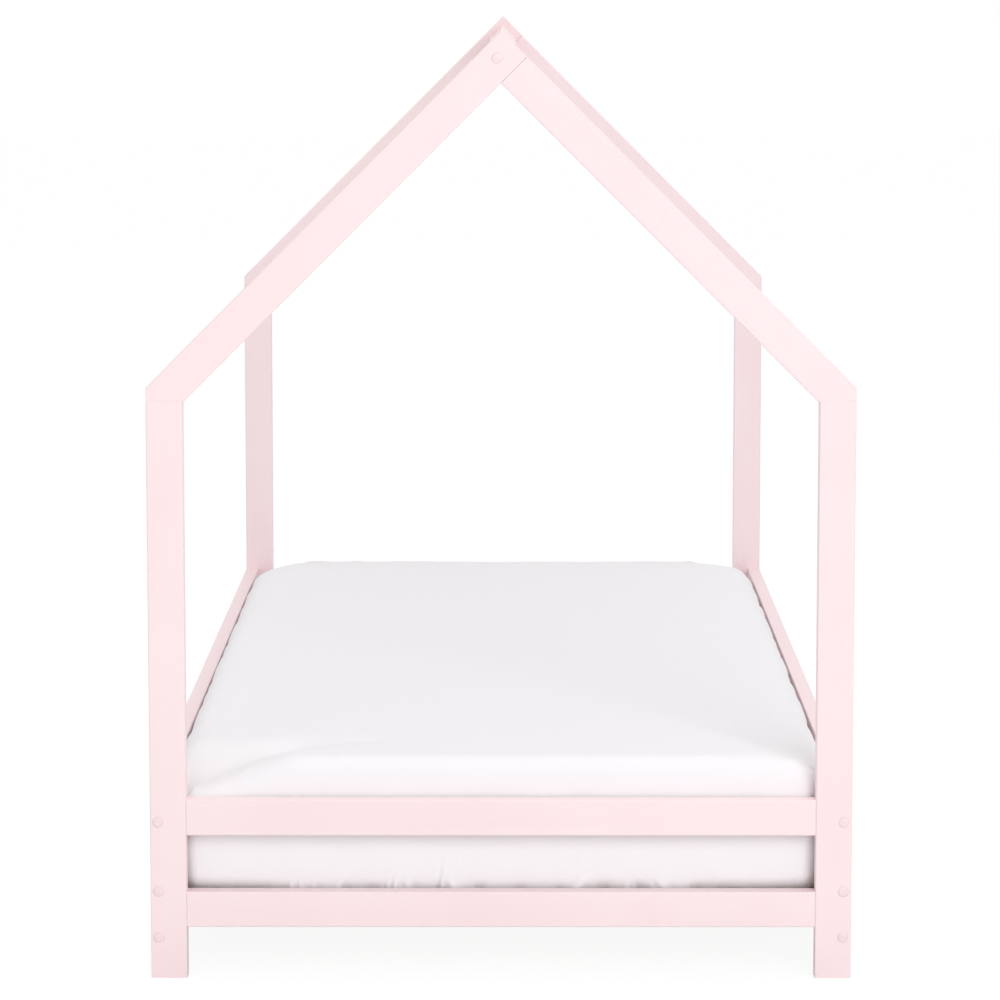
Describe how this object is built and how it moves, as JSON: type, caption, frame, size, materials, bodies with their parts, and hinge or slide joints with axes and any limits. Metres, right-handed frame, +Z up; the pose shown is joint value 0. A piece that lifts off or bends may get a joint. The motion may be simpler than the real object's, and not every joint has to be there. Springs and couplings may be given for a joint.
{
  "type": "kids canopy bed",
  "caption": "Child's single bed with gabled house-shaped end frames, a ridge beam, side rails, a slatted base and a mattress in a fitted sheet.",
  "frame": {"origin": "on the floor, under the middle of the bed's overall box", "axes": "+X to the right across the bed as seen from its front end, +Y along the bed from the front end to the rear end, +Z up"},
  "size_m": [0.97, 2.0644, 1.3077],
  "materials": {
    "painted_wood": "satin",
    "slat_wood": "matte",
    "dowel_wood": "matte",
    "connector_steel": "satin",
    "screw_steel": "satin",
    "cap_plastic": "satin",
    "mattress_ticking": "matte",
    "sheet_cotton": "matte"
  },
  "bodies": {
    "frame": {"front_left_post": "painted_wood", "front_right_post": "painted_wood", "rear_left_post": "painted_wood", "rear_right_post": "painted_wood", "front_left_rafter": "painted_wood", "front_right_rafter": "painted_wood", "rear_left_rafter": "painted_wood", "rear_right_rafter": "painted_wood", "ridge_beam": "painted_wood", "front_upper_rail": "painted_wood", "front_lower_rail": "painted_wood", "rear_upper_rail": "painted_wood", "rear_lower_rail": "painted_wood", "left_upper_side_rail": "painted_wood", "left_lower_side_rail": "painted_wood", "right_upper_side_rail": "painted_wood", "right_lower_side_rail": "painted_wood", "left_ledger": "painted_wood", "right_ledger": "painted_wood", "slat_01": "slat_wood", "slat_02": "slat_wood", "slat_03": "slat_wood", "slat_04": "slat_wood", "slat_05": "slat_wood", "slat_06": "slat_wood", "slat_07": "slat_wood", "slat_08": "slat_wood", "slat_09": "slat_wood", "slat_10": "slat_wood", "slat_11": "slat_wood", "slat_12": "slat_wood", "slat_13": "slat_wood", "slat_14": "slat_wood", "slat_15": "slat_wood", "slat_16": "slat_wood", "front_bolts": "connector_steel", "rear_bolts": "connector_steel", "barrel_nuts": "connector_steel", "front_bolt_caps": "cap_plastic", "rear_bolt_caps": "cap_plastic", "end_rail_dowels": "dowel_wood", "heel_dowels": "dowel_wood", "apex_dowels": "dowel_wood", "side_rail_dowels": "dowel_wood", "ridge_dowels": "dowel_wood", "ledger_screws": "screw_steel", "slat_screws": "screw_steel"},
    "mattress": {"mattress": "mattress_ticking", "fitted_sheet": "sheet_cotton"}
  },
  "joints": [
    {"name": "mattress_lift", "type": "slide", "parent": "frame", "child": "mattress", "axis": [0, 0, 1], "range_m": [0, 0.2]}
  ]
}
